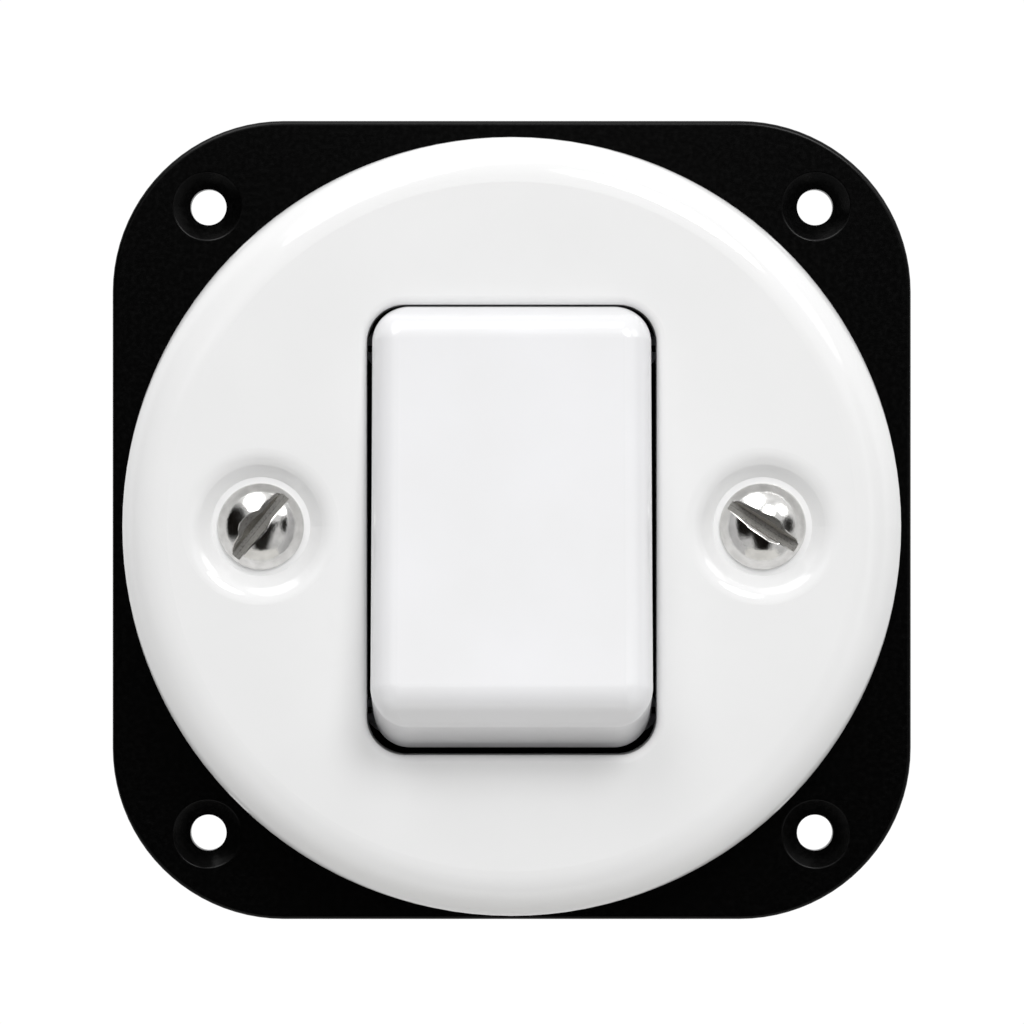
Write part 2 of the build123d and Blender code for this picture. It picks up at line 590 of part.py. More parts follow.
# Upper and lower terminals: a strap under the fixed contact and a pillar for the wire
strap_start = CONTACT_REACH - FIXED_CONTACT_DIAMETER / 2 - STRAP_MARGIN
strap_length = END_PILLAR_REACH + PILLAR_DEEP / 2 - strap_start
clamp_hole_depth = PILLAR_DEEP / 2
for name, end in ends.items():
    pillar_z = end * END_PILLAR_REACH
    clamp_face = Plane(
        origin=(0, -CLAMP_SCREW_LINE, pillar_z + end * PILLAR_DEEP / 2 - SWITCH_DROP),
        z_dir=(0, 0, end),
    )
    with BuildPart() as end_terminal:
        with BuildSketch(ahead(CAVITY_FLOOR)):
            with Locations((0, end * (strap_start + strap_length / 2))):
                Rectangle(PILLAR_WIDTH, strap_length)
            with Locations((0, end * CONTACT_REACH)):
                Circle(CONTACT_TAIL / 2, mode=Mode.SUBTRACT)
        extrude(amount=STRAP_THICKNESS)
        with BuildSketch(ahead(PILLAR_BACK)):
            with Locations((0, pillar_z)):
                Rectangle(PILLAR_WIDTH, PILLAR_DEEP)
        extrude(amount=CAVITY_FLOOR - PILLAR_BACK)
        with BuildSketch(ahead(PILLAR_BACK)):
            with Locations((0, pillar_z)):
                Circle(WIRE_BORE / 2)
        extrude(amount=WIRE_BORE_DEPTH, mode=Mode.SUBTRACT)
        chamfer(end_terminal.faces().sort_by(Axis.Y)[-1].edges(), PILLAR_EDGE_CHAMFER)
        with BuildSketch(clamp_face):
            Circle(CLAMP_SCREW_THREAD / 2)
        extrude(amount=-clamp_hole_depth, mode=Mode.SUBTRACT)
    save(end_terminal, f"{name}_terminal")

# Common terminal: its blade carries the see-saw and its pillar stands beside the cavity
common_strap_length = COMMON_PILLAR_REACH + PILLAR_DEEP / 2 + SEE_SAW_WIDTH / 2
common_strap_x = SEE_SAW_WIDTH / 2 - common_strap_length / 2
common_clamp_face = Plane(
    origin=(-COMMON_PILLAR_REACH - PILLAR_DEEP / 2, -CLAMP_SCREW_LINE, -SWITCH_DROP), z_dir=(-1, 0, 0)
)
with BuildPart() as common_terminal:
    with BuildSketch(ahead(CAVITY_FLOOR)):
        with Locations((common_strap_x, 0)):
            Rectangle(common_strap_length, COMMON_STRAP_WIDTH)
    extrude(amount=STRAP_THICKNESS)
    with BuildSketch(ahead(STRAP_FRONT)):
        Rectangle(SEE_SAW_WIDTH, BLADE_NECK)
    extrude(amount=FULCRUM - STRAP_FRONT)
    with BuildSketch(Plane(origin=fulcrum_point, z_dir=(1, 0, 0))):
        Circle(BLADE_RADIUS)
    extrude(amount=SEE_SAW_WIDTH / 2, both=True)
    with BuildSketch(ahead(PILLAR_BACK)):
        with Locations((-COMMON_PILLAR_REACH, 0)):
            Rectangle(PILLAR_DEEP, PILLAR_WIDTH)
    extrude(amount=CAVITY_FLOOR - PILLAR_BACK)
    with BuildSketch(ahead(PILLAR_BACK)):
        with Locations((-COMMON_PILLAR_REACH, 0)):
            Circle(WIRE_BORE / 2)
    extrude(amount=WIRE_BORE_DEPTH, mode=Mode.SUBTRACT)
    chamfer(common_terminal.faces().sort_by(Axis.Y)[-1].edges(), PILLAR_EDGE_CHAMFER)
    with BuildSketch(common_clamp_face):
        Circle(CLAMP_SCREW_THREAD / 2)
    extrude(amount=-clamp_hole_depth, mode=Mode.SUBTRACT)
save(common_terminal, "common_terminal")

# Clamp screws: each reaches through the base's wall into its pillar
upper_face_z = END_PILLAR_REACH + PILLAR_DEEP / 2
clamp_faces = {
    "upper": Plane(origin=(0, -CLAMP_SCREW_LINE, upper_face_z - SWITCH_DROP), z_dir=(0, 0, 1)),
    "lower": Plane(origin=(0, -CLAMP_SCREW_LINE, -upper_face_z - SWITCH_DROP), z_dir=(0, 0, -1)),
    "common": common_clamp_face,
}
for name, plane in clamp_faces.items():
    with BuildPart() as clamp_screw:
        with BuildSketch(plane.offset(CLAMP_SCREW_STAND_OFF)):
            Circle(CLAMP_SCREW_HEAD / 2)
        extrude(amount=CLAMP_SCREW_HEAD_HEIGHT)
        with BuildSketch(plane.offset(CLAMP_SCREW_STAND_OFF)):
            Circle(CLAMP_SCREW_THREAD / 2)
        extrude(amount=-CLAMP_SCREW_STAND_OFF - clamp_hole_depth + WIRE_BORE / 2)
        with BuildSketch(plane.offset(CLAMP_SCREW_STAND_OFF + CLAMP_SCREW_HEAD_HEIGHT)):
            Rectangle(2 * CLAMP_SCREW_HEAD, CLAMP_SCREW_SLOT)
        extrude(amount=-CLAMP_SCREW_SLOT_DEPTH, mode=Mode.SUBTRACT)
    save(clamp_screw, f"clamp_screw_{name}")

# Mechanism base: a cavity for the see-saw and a pocket for each terminal
base_depth = BASE_RECESS_DEPTH - BASE_BACK
pocket_width = PILLAR_WIDTH + 2 * TERMINAL_CLEARANCE
pocket_deep = PILLAR_DEEP + 2 * TERMINAL_CLEARANCE
notch_reach = COMMON_PILLAR_REACH + pocket_deep / 2
base_screw_bottom = PLATE_THICKNESS - BASE_SCREW_LENGTH
with BuildPart() as mechanism_base:
    with BuildSketch(ahead(BASE_BACK)):
        RectangleRounded(BASE_WIDTH, BASE_LENGTH, BASE_CORNER_RADIUS)
    extrude(amount=base_depth)
    chamfer(mechanism_base.faces().sort_by(Axis.Y)[-1].edges(), BASE_BACK_CHAMFER)
    with BuildSketch(ahead(CAVITY_FLOOR)):
        RectangleRounded(2 * CHEEK_INSIDE, CAVITY_LENGTH, CAVITY_CORNER_RADIUS)
        with Locations((-notch_reach / 2, 0)):
            Rectangle(notch_reach, pocket_width)
    extrude(amount=BASE_RECESS_DEPTH - CAVITY_FLOOR, mode=Mode.SUBTRACT)
    with BuildSketch(ahead(BASE_BACK)):
        with GridLocations(0, 2 * END_PILLAR_REACH, 1, 2):
            Rectangle(pocket_width, pocket_deep)
        with Locations((-COMMON_PILLAR_REACH, 0)):
            Rectangle(pocket_deep, pocket_width)
    extrude(amount=CAVITY_FLOOR - BASE_BACK, mode=Mode.SUBTRACT)
    for plane in clamp_faces.values():
        with BuildSketch(plane):
            Circle(CLAMP_SCREW_HEAD / 2 + CLAMP_ACCESS_CLEARANCE)
        extrude(amount=BASE_WIDTH, mode=Mode.SUBTRACT)
    with BuildSketch(ahead(base_screw_bottom)):
        with GridLocations(BASE_SCREW_SPACING_X, BASE_SCREW_SPACING_Z, 2, 2):
            Circle(BASE_SCREW_THREAD / 2)
    extrude(amount=BASE_RECESS_DEPTH - base_screw_bottom, mode=Mode.SUBTRACT)
save(mechanism_base, "mechanism_base")

# Countersunk screws that hold the base to the plate, flush under the rocker
base_screw_cone = (BASE_SCREW_HEAD - BASE_SCREW_THREAD) / 2 / countersink_flare
for end_name, end in ends.items():
    for side_name, side in sides.items():
        screw_plane = Plane(
            origin=(side * BASE_SCREW_SPACING_X / 2, 0, end * BASE_SCREW_SPACING_Z / 2 - SWITCH_DROP),
            x_dir=(1, 0, 0),
            z_dir=(0, 0, -1),
        )
        with BuildPart() as base_screw:
            with BuildSketch(screw_plane):
                with BuildLine():
                    Polyline(
                        (0, base_screw_bottom),
                        (BASE_SCREW_THREAD / 2, base_screw_bottom),
                        (BASE_SCREW_THREAD / 2, PLATE_THICKNESS - base_screw_cone),
                        (BASE_SCREW_HEAD / 2, PLATE_THICKNESS),
                        (0, PLATE_THICKNESS),
                        close=True,
                    )
                make_face()
            revolve(axis=Axis(screw_plane.origin, (0, -1, 0)))
            with BuildSketch(ahead(PLATE_THICKNESS)):
                with Locations((side * BASE_SCREW_SPACING_X / 2, end * BASE_SCREW_SPACING_Z / 2)):
                    Rectangle(2 * BASE_SCREW_HEAD, BASE_SCREW_SLOT)
            extrude(amount=-BASE_SCREW_SLOT_DEPTH, mode=Mode.SUBTRACT)
        save(base_screw, f"base_screw_{end_name}_{side_name}")
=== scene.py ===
# %% [markdown]
# This lesson dresses a porcelain rocker switch: a black moulded plate, a round glazed cover, a white
# rocker and two slotted screws, with the contacts and terminals behind. The solids come ready made from
# the CAD model, in metres, and keep their places. Blender adds what a solid can't show: glaze, polish,
# wear and light.

import json
import math

import bmesh
import bpy
from mathutils import Matrix, Vector


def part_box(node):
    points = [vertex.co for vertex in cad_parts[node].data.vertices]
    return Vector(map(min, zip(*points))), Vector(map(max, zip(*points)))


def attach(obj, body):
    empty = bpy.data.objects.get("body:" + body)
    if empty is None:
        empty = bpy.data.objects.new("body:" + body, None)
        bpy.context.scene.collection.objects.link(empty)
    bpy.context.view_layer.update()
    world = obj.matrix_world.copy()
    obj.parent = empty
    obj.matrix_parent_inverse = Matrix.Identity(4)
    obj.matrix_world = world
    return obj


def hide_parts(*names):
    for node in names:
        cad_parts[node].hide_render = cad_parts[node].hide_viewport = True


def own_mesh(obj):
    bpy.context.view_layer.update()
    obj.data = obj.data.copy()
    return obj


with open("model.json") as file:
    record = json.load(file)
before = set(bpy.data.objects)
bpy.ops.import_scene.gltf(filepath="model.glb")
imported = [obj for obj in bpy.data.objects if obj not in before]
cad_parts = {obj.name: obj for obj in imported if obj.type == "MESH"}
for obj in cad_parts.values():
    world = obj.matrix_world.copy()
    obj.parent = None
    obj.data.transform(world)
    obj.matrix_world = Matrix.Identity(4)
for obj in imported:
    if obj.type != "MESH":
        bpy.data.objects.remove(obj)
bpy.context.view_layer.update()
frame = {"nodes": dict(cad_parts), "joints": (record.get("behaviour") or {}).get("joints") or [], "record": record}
nodes = frame["nodes"]
MM = 0.001

# %% [markdown]
# Colours are read off as hex codes, the way a paint chart gives them, but shader sockets take linear
# light, so one function turns the one into the other. A second small function adds any shader node, sets
# it and links it, so that each finish below reads as a short list of what is in it.

# %% Helpers for finishes


def linear(code):
    """A hex colour as the linear red, green, blue and alpha that sockets take."""
    shares = [int(code[i : i + 2], 16) / 255 for i in (0, 2, 4)]
    return [s / 12.92 if s <= 0.04045 else ((s + 0.055) / 1.055) ** 2.4 for s in shares] + [1.0]


def add(tree, kind, inputs=None, **settings):
    """Adds a node. An input that is a socket is linked, and any other is set."""
    node = tree.nodes.new(kind)
    for key, value in settings.items():
        setattr(node, key, value)
    for key, value in (inputs or {}).items():
        if isinstance(value, bpy.types.NodeSocket):
            tree.links.new(value, node.inputs[key])
        else:
            node.inputs[key].default_value = value
    return node


finishes = {}


def start_finish(slot, name):
    """A new material for a slot, with its shader and the place on the piece, in metres."""
    material = bpy.data.materials.new(name)
    material.use_nodes = True
    finishes[slot] = material
    tree = material.node_tree
    tree.nodes.clear()
    shader = add(tree, "ShaderNodeBsdfPrincipled")
    add(tree, "ShaderNodeOutputMaterial", {"Surface": shader.outputs["BSDF"]})
    place = add(tree, "ShaderNodeTexCoord").outputs["Object"]
    return tree, shader, place


def per_metre(size_mm):
    """The scale of a pattern whose features are this many millimetres across."""
    return 1 / (size_mm * MM)


print("white chip in linear light", [round(v, 3) for v in linear("f0f0ee")])

# %% [markdown]
# Glazed porcelain is white clay under a clear glass. The glass gives a sharp, mirror-like gloss. It flows
# a little in the kiln, so reflections waver over a centimetre or so, and it pools thinly, which shifts
# the white by a trace. The foot that stood on the kiln shelf is wiped bare. A mask on the distance from
# the wall dulls it there.

# %% Glazed porcelain
FOOT_FACE = -3.0
FOOT_GLAZE_LINE = -3.7

tree, shader, place = start_finish("porcelain", "glazed_porcelain")
pooling = add(tree, "ShaderNodeTexNoise", {"Vector": place, "Scale": per_metre(16), "Detail": 3.0})
white = add(tree, "ShaderNodeValToRGB", {"Fac": pooling.outputs["Fac"]})
white.color_ramp.elements[0].position = 0.3
white.color_ramp.elements[0].color = linear("eeeeee")
white.color_ramp.elements[1].position = 0.7
white.color_ramp.elements[1].color = linear("f1f1f1")
depth = add(tree, "ShaderNodeSeparateXYZ", {"Vector": place}).outputs["Y"]
bare = add(
    tree,
    "ShaderNodeMapRange",
    {
        "Value": depth,
        "From Min": FOOT_GLAZE_LINE * MM,
        "From Max": FOOT_FACE * MM,
        "To Min": 0.06,
        "To Max": 0.6,
    },
)
flow = add(tree, "ShaderNodeTexNoise", {"Vector": place, "Scale": per_metre(11), "Detail": 1.0})
ripple = add(
    tree,
    "ShaderNodeBump",
    {"Height": flow.outputs["Fac"], "Strength": 0.25, "Distance": 0.12 * MM},
)
tree.links.new(white.outputs["Color"], shader.inputs["Base Color"])
tree.links.new(bare.outputs["Result"], shader.inputs["Roughness"])
tree.links.new(ripple.outputs["Normal"], shader.inputs["Normal"])
shader.inputs["IOR"].default_value = 1.52
print("finish", "glazed porcelain")

# %% [markdown]
# The rocker is moulded from urea resin: hard, white and glossy, a touch bluer than the porcelain. Its
# gloss is softer than glaze, because the mould's polish leaves a fine peel, and fingers dull the face in
# soft patches.

# %% Moulded white urea
tree, shader, place = start_finish("white_thermoset", "white_urea")
cloud = add(tree, "ShaderNodeTexNoise", {"Vector": place, "Scale": per_metre(13), "Detail": 4.0})
white = add(tree, "ShaderNodeValToRGB", {"Fac": cloud.outputs["Fac"]})
white.color_ramp.elements[0].position = 0.3
white.color_ramp.elements[0].color = linear("e9e9ea")
white.color_ramp.elements[1].position = 0.7
white.color_ramp.elements[1].color = linear("ececee")
handled = add(
    tree,
    "ShaderNodeMapRange",
    {"Value": cloud.outputs["Fac"], "From Min": 0.35, "From Max": 0.7, "To Min": 0.12, "To Max": 0.2},
)
peel = add(tree, "ShaderNodeTexNoise", {"Vector": place, "Scale": per_metre(1.2), "Detail": 2.0})
skin = add(
    tree,
    "ShaderNodeBump",
    {"Height": peel.outputs["Fac"], "Strength": 0.12, "Distance": 0.02 * MM},
)
tree.links.new(white.outputs["Color"], shader.inputs["Base Color"])
tree.links.new(handled.outputs["Result"], shader.inputs["Roughness"])
tree.links.new(skin.outputs["Normal"], shader.inputs["Normal"])
shader.inputs["IOR"].default_value = 1.54
print("finish", "moulded white urea")

# %% [markdown]
# The plate is black phenolic resin filled with wood flour. It is nearly black, with a satin skin: broad,
# dim reflections, a fine peel, and faint grains of the filler that are a little lighter.

# %% Moulded black phenolic
tree, shader, place = start_finish("black_thermoset", "black_phenolic")
grain = add(tree, "ShaderNodeTexNoise", {"Vector": place, "Scale": per_metre(0.5), "Detail": 3.0})
black = add(tree, "ShaderNodeValToRGB", {"Fac": grain.outputs["Fac"]})
black.color_ramp.elements[0].position = 0.45
black.color_ramp.elements[0].color = linear("030303")
black.color_ramp.elements[1].position = 0.8
black.color_ramp.elements[1].color = linear("080808")
satin = add(
    tree,
    "ShaderNodeMapRange",
    {"Value": grain.outputs["Fac"], "From Min": 0.3, "From Max": 0.7, "To Min": 0.2, "To Max": 0.26},
)
peel = add(tree, "ShaderNodeTexNoise", {"Vector": place, "Scale": per_metre(1.0), "Detail": 2.0})
skin = add(
    tree,
    "ShaderNodeBump",
    {"Height": peel.outputs["Fac"], "Strength": 0.2, "Distance": 0.03 * MM},
)
tree.links.new(black.outputs["Color"], shader.inputs["Base Color"])
tree.links.new(satin.outputs["Result"], shader.inputs["Roughness"])
tree.links.new(skin.outputs["Normal"], shader.inputs["Normal"])
shader.inputs["Specular IOR Level"].default_value = 0.12
print("finish", "moulded black phenolic")

# %% [markdown]
# The grey resin inside is the same kind of moulding with a mineral filler, left as it came from the
# mould.

# %% Moulded grey resin
tree, shader, place = start_finish("grey_thermoset", "grey_phenolic")
grain = add(tree, "ShaderNodeTexNoise", {"Vector": place, "Scale": per_metre(0.7), "Detail": 4.0})
grey = add(tree, "ShaderNodeValToRGB", {"Fac": grain.outputs["Fac"]})
grey.color_ramp.elements[0].position = 0.35
grey.color_ramp.elements[0].color = linear("55565a")
grey.color_ramp.elements[1].position = 0.7
grey.color_ramp.elements[1].color = linear("68696c")
skin = add(
    tree,
    "ShaderNodeBump",
    {"Height": grain.outputs["Fac"], "Strength": 0.3, "Distance": 0.04 * MM},
)
tree.links.new(grey.outputs["Color"], shader.inputs["Base Color"])
tree.links.new(skin.outputs["Normal"], shader.inputs["Normal"])
shader.inputs["Roughness"].default_value = 0.48
print("finish", "moulded grey resin")

# %% [markdown]
# The mechanism sits in steatite, a pressed ceramic that is fired without glaze. It looks like fine chalk:
# cream, matt, with a sandy tooth and small darker specks from the clay.

# %% Bare steatite
tree, shader, place = start_finish("steatite", "steatite")
cloud = add(tree, "ShaderNodeTexNoise", {"Vector": place, "Scale": per_metre(6), "Detail": 6.0})
cream = add(tree, "ShaderNodeValToRGB", {"Fac": cloud.outputs["Fac"]})
cream.color_ramp.elements[0].position = 0.3
cream.color_ramp.elements[0].color = linear("d9d0bd")
cream.color_ramp.elements[1].position = 0.7
cream.color_ramp.elements[1].color = linear("e6dfd0")
speck = add(tree, "ShaderNodeTexVoronoi", {"Vector": place, "Scale": per_metre(1.6)})
speck_edge = add(
    tree,
    "ShaderNodeMapRange",
    {"Value": speck.outputs["Distance"], "From Min": 0.05, "From Max": 0.11, "To Min": 0.55, "To Max": 1.0},
)
body = add(
    tree,
    "ShaderNodeMix",
    {6: cream.outputs["Color"], 7: speck_edge.outputs["Result"], "Factor": 1.0},
    data_type="RGBA",
    blend_type="MULTIPLY",
)
tooth = add(tree, "ShaderNodeTexNoise", {"Vector": place, "Scale": per_metre(0.35), "Detail": 3.0})
sand = add(
    tree,
    "ShaderNodeBump",
    {"Height": tooth.outputs["Fac"], "Strength": 0.4, "Distance": 0.05 * MM},
)
tree.links.new(body.outputs[2], shader.inputs["Base Color"])
tree.links.new(sand.outputs["Normal"], shader.inputs["Normal"])
shader.inputs["Roughness"].default_value = 0.72
print("finish", "bare steatite")

# %% [markdown]
# The cover screws are brass, turned, polished and nickel plated. Nickel is a slightly warm mirror. The
# lathe leaves rings round each screw's own axis. One pattern serves both screws, because the rings are
# drawn on the distance from the nearer axis, which is the same to the left and to the right once the sign
# of x is dropped. The saw leaves the slot grey and rough. Its faces carry a mark called sawn, which the
# finish reads: a raised burr is half dulled, a sawn face is grey, and a chipped ledge is painted darker
# still, as painted shade in the slot. The rings and the fine frosting are drawn coarser than they are, so
# that they show at this distance.

# %% Polished nickel
screw_low, screw_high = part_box("cover_screw_right")
SCREW_OUT = (screw_low.x + screw_high.x) / 2
SCREW_UP = (screw_low.z + screw_high.z) / 2
RAISED = 0.4
SAWN = 1.0
# Chipped ledge faces carry this mark, and the finish paints them darker as painted shade in the slot.
CHIPPED_AND_SHADED = 2.0

tree, shader, place = start_finish("nickel", "polished_nickel")
axes = add(tree, "ShaderNodeSeparateXYZ", {"Vector": place})
out = add(tree, "ShaderNodeMath", {0: axes.outputs["X"]}, operation="ABSOLUTE")
across = add(tree, "ShaderNodeMath", {0: out.outputs[0], 1: SCREW_OUT}, operation="SUBTRACT")
up = add(tree, "ShaderNodeMath", {0: axes.outputs["Z"], 1: SCREW_UP}, operation="SUBTRACT")
from_axis = add(tree, "ShaderNodeCombineXYZ", {"X": across.outputs[0], "Y": up.outputs[0]})
radius = add(tree, "ShaderNodeVectorMath", {0: from_axis.outputs[0]}, operation="LENGTH")
rings = add(
    tree,
    "ShaderNodeTexNoise",
    {"W": radius.outputs["Value"], "Scale": per_metre(0.12), "Detail": 3.0},
    noise_dimensions="1D",
)
smears = add(tree, "ShaderNodeTexNoise", {"Vector": place, "Scale": per_metre(1.1), "Detail": 5.0})
tint = add(tree, "ShaderNodeValToRGB", {"Fac": smears.outputs["Fac"]})
tint.color_ramp.elements[0].position = 0.35
tint.color_ramp.elements[0].color = linear("d2d1cf")
tint.color_ramp.elements[1].position = 0.65
tint.color_ramp.elements[1].color = linear("e4e3e1")
polish = add(
    tree,
    "ShaderNodeMapRange",
    {"Value": smears.outputs["Fac"], "From Min": 0.3, "From Max": 0.75, "To Min": 0.08, "To Max": 0.2},
)
turned = add(
    tree,
    "ShaderNodeBump",
    {"Height": rings.outputs["Fac"], "Strength": 0.12, "Distance": 0.01 * MM},
)
dents = add(
    tree,
    "ShaderNodeBump",
    {
        "Height": smears.outputs["Fac"],
        "Strength": 0.3,
        "Distance": 0.06 * MM,
        "Normal": turned.outputs["Normal"],
    },
)
grain = add(tree, "ShaderNodeTexNoise", {"Vector": place, "Scale": per_metre(0.2), "Detail": 2.0})
frosted = add(
    tree,
    "ShaderNodeBump",
    {
        "Height": grain.outputs["Fac"],
        "Strength": 0.3,
        "Distance": 0.02 * MM,
        "Normal": dents.outputs["Normal"],
    },
)
sawn = add(tree, "ShaderNodeAttribute", attribute_name="sawn").outputs["Fac"]
across_slot = add(tree, "ShaderNodeAttribute", attribute_name="across").outputs["Fac"]
marks = add(
    tree,
    "ShaderNodeTexNoise",
    {"W": across_slot, "Scale": per_metre(0.16), "Detail": 3.0},
    noise_dimensions="1D",
)
scratched = add(tree, "ShaderNodeMath", {0: marks.outputs["Fac"], 1: grain.outputs["Fac"]}, operation="ADD")
saw_grey = add(tree, "ShaderNodeValToRGB", {"Fac": scratched.outputs[0]})
saw_grey.color_ramp.elements[0].position = 0.75
saw_grey.color_ramp.elements[0].color = linear("8d8b87")
saw_grey.color_ramp.elements[1].position = 1.0
saw_grey.color_ramp.elements[1].color = linear("bcbab6")
# Painted shade: the sawn grey is multiplied darker on the chipped ledges, where the slot's shade falls. It is not
# a colour of the metal.
ledge_painted_shade = add(
    tree,
    "ShaderNodeMapRange",
    {"Value": sawn, "From Min": SAWN, "From Max": CHIPPED_AND_SHADED, "To Min": 1.0, "To Max": 0.45},
)
sawn_grey_and_shade = add(
    tree,
    "ShaderNodeMix",
    {6: saw_grey.outputs["Color"], 7: ledge_painted_shade.outputs["Result"], "Factor": 1.0},
    data_type="RGBA",
    blend_type="MULTIPLY",
)
metal = add(
    tree,
    "ShaderNodeMix",
    {"Factor": sawn, 6: tint.outputs["Color"], 7: sawn_grey_and_shade.outputs[2]},
    data_type="RGBA",
)
gloss = add(tree, "ShaderNodeMix", {"Factor": sawn, 2: polish.outputs["Result"], 3: 0.42})
tree.links.new(metal.outputs[2], shader.inputs["Base Color"])
tree.links.new(gloss.outputs[0], shader.inputs["Roughness"])
tree.links.new(frosted.outputs["Normal"], shader.inputs["Normal"])
shader.inputs["Metallic"].default_value = 1.0
print("finish", "polished nickel, axis at", round(SCREW_OUT / MM, 2), "mm")

# %% [markdown]
# The terminals and inserts are plain brass, cut from rolled strip and turned rod. Rolling draws long fine
# streaks, and bare brass tarnishes unevenly, so both its colour and its polish drift.

# %% Rolled brass
tree, shader, place = start_finish("brass", "rolled_brass")
grow = add(tree, "ShaderNodeMapping", {"Vector": place, "Scale": (1.0, 1.0, 0.08)})
streaks = add(
    tree,
    "ShaderNodeTexNoise",
    {"Vector": grow.outputs[0], "Scale": per_metre(0.3), "Detail": 4.0},
)
tarnish = add(tree, "ShaderNodeTexNoise", {"Vector": place, "Scale": per_metre(5), "Detail": 5.0})
gold = add(tree, "ShaderNodeValToRGB", {"Fac": tarnish.outputs["Fac"]})
gold.color_ramp.elements[0].position = 0.35
gold.color_ramp.elements[0].color = linear("b08a48")
gold.color_ramp.elements[1].position = 0.65
gold.color_ramp.elements[1].color = linear("d6b672")
polish = add(
    tree,
    "ShaderNodeMapRange",
    {"Value": streaks.outputs["Fac"], "From Min": 0.3, "From Max": 0.7, "To Min": 0.2, "To Max": 0.38},
)
drawn = add(
    tree,
    "ShaderNodeBump",
    {"Height": streaks.outputs["Fac"], "Strength": 0.15, "Distance": 0.02 * MM},
)
tree.links.new(gold.outputs["Color"], shader.inputs["Base Color"])
tree.links.new(polish.outputs["Result"], shader.inputs["Roughness"])
tree.links.new(drawn.outputs["Normal"], shader.inputs["Normal"])
shader.inputs["Metallic"].default_value = 1.0
print("finish", "rolled brass")

# %% [markdown]
# The pin, clips, spring and small screws are steel with a thin coat of zinc. Zinc grows in soft crystals,
# so the metal is pale, a little blue and cloudy rather than mirror bright.

# %% Zinc plated steel
tree, shader, place = start_finish("steel", "zinc_plated_steel")
crystal = add(tree, "ShaderNodeTexVoronoi", {"Vector": place, "Scale": per_metre(0.8)})
cloud = add(tree, "ShaderNodeTexNoise", {"Vector": place, "Scale": per_metre(3), "Detail": 5.0})
zinc = add(tree, "ShaderNodeValToRGB", {"Fac": cloud.outputs["Fac"]})
zinc.color_ramp.elements[0].position = 0.35
zinc.color_ramp.elements[0].color = linear("a9adb2")
zinc.color_ramp.elements[1].position = 0.65
zinc.color_ramp.elements[1].color = linear("c9ccd0")
polish = add(
    tree,
    "ShaderNodeMapRange",
    {"Value": crystal.outputs["Distance"], "From Min": 0.0, "From Max": 0.8, "To Min": 0.22, "To Max": 0.4},
)
tree.links.new(zinc.outputs["Color"], shader.inputs["Base Color"])
tree.links.new(polish.outputs["Result"], shader.inputs["Roughness"])
shader.inputs["Metallic"].default_value = 1.0
print("finish", "zinc plated steel")

# %% [markdown]
# The contacts are fine silver rivets. Silver is the whitest metal, and each make and break of the current
# pits it a little, so it is bright but soft.

# %% Contact silver
tree, shader, place = start_finish("silver", "contact_silver")
pits = add(tree, "ShaderNodeTexNoise", {"Vector": place, "Scale": per_metre(0.4), "Detail": 4.0})
bright = add(tree, "ShaderNodeValToRGB", {"Fac": pits.outputs["Fac"]})
bright.color_ramp.elements[0].position = 0.35
bright.color_ramp.elements[0].color = linear("c9c5bd")
bright.color_ramp.elements[1].position = 0.6
bright.color_ramp.elements[1].color = linear("ece9e3")
wear = add(
    tree,
    "ShaderNodeBump",
    {"Height": pits.outputs["Fac"], "Strength": 0.3, "Distance": 0.03 * MM},
)
tree.links.new(bright.outputs["Color"], shader.inputs["Base Color"])
tree.links.new(wear.outputs["Normal"], shader.inputs["Normal"])
shader.inputs["Metallic"].default_value = 1.0
shader.inputs["Roughness"].default_value = 0.3
print("finish", "contact silver")

# %% [markdown]
# Each solid already knows its material by slot name from the record, so the finishes are handed out by
# that name.

# %% Give the solids their finishes
slot_of = {row["node"]: row["material_slot"] for row in frame["record"]["subparts"]}
for name, node in nodes.items():
    node.data.materials.clear()
    node.data.materials.append(finishes[slot_of[name]])
print("finished solids", len(nodes))

# %% [markdown]
# The two cover screws are what the eye goes to, so they are modelled again with their wear. A screw is a
# turned piece: its outline is drawn once and spun about its axis. The dome's arc is itself a spin of one
# vertex about the centre of its sphere.

# %% Helpers for turned pieces
TOUCH = 0.001
SORT_ALONG = Vector((1.0, 0.37, 0.73))


def longer(bm, last, points):
    """Draws an outline on from its last vertex, through points of (radius, height)."""
    for out, height in points:
        last = bmesh.ops.extrude_vert_indiv(bm, verts=[last])["verts"][0]
        last.co = (out, 0, height)
    return last


def in_order(bm):
    """Sorts edges and faces along a slanting line, so that each run gives the same mesh."""
    for elements in (bm.edges, bm.faces):
        elements.sort(key=lambda element: sum(v.co.dot(SORT_ALONG) for v in element.verts))


def turn_round(bm, steps):
    """Spins the outline about the Z axis into a closed turned shape."""
    bmesh.ops.spin(
        bm,
        geom=bm.verts[:] + bm.edges[:],
        cent=(0, 0, 0),
        axis=(0, 0, 1),
        angle=math.tau,
        steps=steps,
        use_merge=True,
    )
    bmesh.ops.remove_doubles(bm, verts=bm.verts, dist=TOUCH)
    in_order(bm)
    bmesh.ops.recalc_face_normals(bm, faces=bm.faces)


print("points closer than", TOUCH, "mm are merged")

# %% [markdown]
# The slot is sawn: two cuts along its sides and one at its floor, and the strip between them deleted. The
# edges that are left open can then be let down, row by row, to the floor, so a chipped ledge is just one
# more row.

# %% Helpers for a sawn slot
CUT_TOUCH = 0.0001


